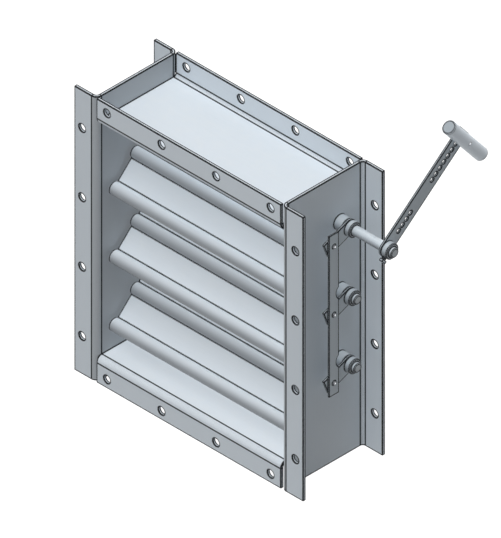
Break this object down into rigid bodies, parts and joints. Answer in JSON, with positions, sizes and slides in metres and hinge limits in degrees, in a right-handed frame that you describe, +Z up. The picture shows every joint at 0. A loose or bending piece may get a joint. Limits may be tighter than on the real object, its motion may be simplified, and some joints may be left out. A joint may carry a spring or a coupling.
{
  "type": "backdraft damper",
  "caption": "Flanged channel frame with parallel gravity blades joined by an outside link bar, with a counterweight on an adjustable lever.",
  "frame": {"origin": "centre of the opening in the plane of the front flanges", "axes": "+X across the opening towards the linkage side, +Y from the front flanges to the rear flanges, +Z up"},
  "size_m": [0.6627, 0.3698, 0.7136],
  "materials": {
    "frame_steel": "satin blue-grey",
    "blade_sheet": "satin pale blue-grey",
    "turned_steel": "turned, satin",
    "shaft_steel": "ground bar, satin",
    "bar_steel": "satin grey flat bar",
    "fastener_steel": "zinc plated",
    "bearing_bronze": "sintered bronze"
  },
  "bodies": {
    "frame": {"left_channel": "frame_steel", "right_channel": "frame_steel", "top_channel": "frame_steel", "bottom_channel": "frame_steel", "top_stop": "frame_steel", "bottom_stop": "frame_steel", "right_boss_1": "turned_steel", "right_boss_2": "turned_steel", "right_boss_3": "turned_steel", "left_boss_1": "turned_steel", "left_boss_2": "turned_steel", "left_boss_3": "turned_steel", "right_bush_1": "bearing_bronze", "right_bush_2": "bearing_bronze", "right_bush_3": "bearing_bronze", "left_bush_1": "bearing_bronze", "left_bush_2": "bearing_bronze", "left_bush_3": "bearing_bronze"},
    "top_blade": {"shaft_1": "shaft_steel", "blade_1": "blade_sheet", "blade_rivets_1": "fastener_steel", "spacers_1": "turned_steel", "collar_1": "turned_steel", "crank_arm_1": "bar_steel", "crank_hub_1": "turned_steel", "crank_pin_1": "fastener_steel", "grub_screws_1": "fastener_steel", "lever_arm": "bar_steel", "lever_hub": "turned_steel", "lever_set_screw": "fastener_steel", "counterweight": "turned_steel", "weight_bolt": "fastener_steel", "weight_washer": "fastener_steel"},
    "middle_blade": {"shaft_2": "shaft_steel", "blade_2": "blade_sheet", "blade_rivets_2": "fastener_steel", "spacers_2": "turned_steel", "collar_2": "turned_steel", "crank_arm_2": "bar_steel", "crank_hub_2": "turned_steel", "crank_pin_2": "fastener_steel", "grub_screws_2": "fastener_steel"},
    "bottom_blade": {"shaft_3": "shaft_steel", "blade_3": "blade_sheet", "blade_rivets_3": "fastener_steel", "spacers_3": "turned_steel", "collar_3": "turned_steel", "crank_arm_3": "bar_steel", "crank_hub_3": "turned_steel", "crank_pin_3": "fastener_steel", "grub_screws_3": "fastener_steel"},
    "link": {"link_bar": "bar_steel"}
  },
  "joints": [
    {"name": "top_blade_hinge", "type": "hinge", "parent": "frame", "child": "top_blade", "pos_m": [0, 0.139, 0.2033], "axis": [1, 0, 0], "range_deg": [-35, 41]},
    {"name": "middle_blade_hinge", "type": "hinge", "parent": "frame", "child": "middle_blade", "pos_m": [0, 0.139, 0.05682], "axis": [1, 0, 0], "range_deg": [-35, 41]},
    {"name": "bottom_blade_hinge", "type": "hinge", "parent": "frame", "child": "bottom_blade", "pos_m": [0, 0.139, -0.08966], "axis": [1, 0, 0], "range_deg": [-35, 41]},
    {"name": "link_hinge", "type": "hinge", "parent": "top_blade", "child": "link", "pos_m": [0.26331, 0.09546, 0.18615], "axis": [1, 0, 0], "range_deg": [-41, 35]}
  ],
  "couplings": [
    {"joint": "middle_blade_hinge", "follows": "top_blade_hinge", "ratio": 1},
    {"joint": "bottom_blade_hinge", "follows": "top_blade_hinge", "ratio": 1},
    {"joint": "link_hinge", "follows": "top_blade_hinge", "ratio": -1}
  ]
}
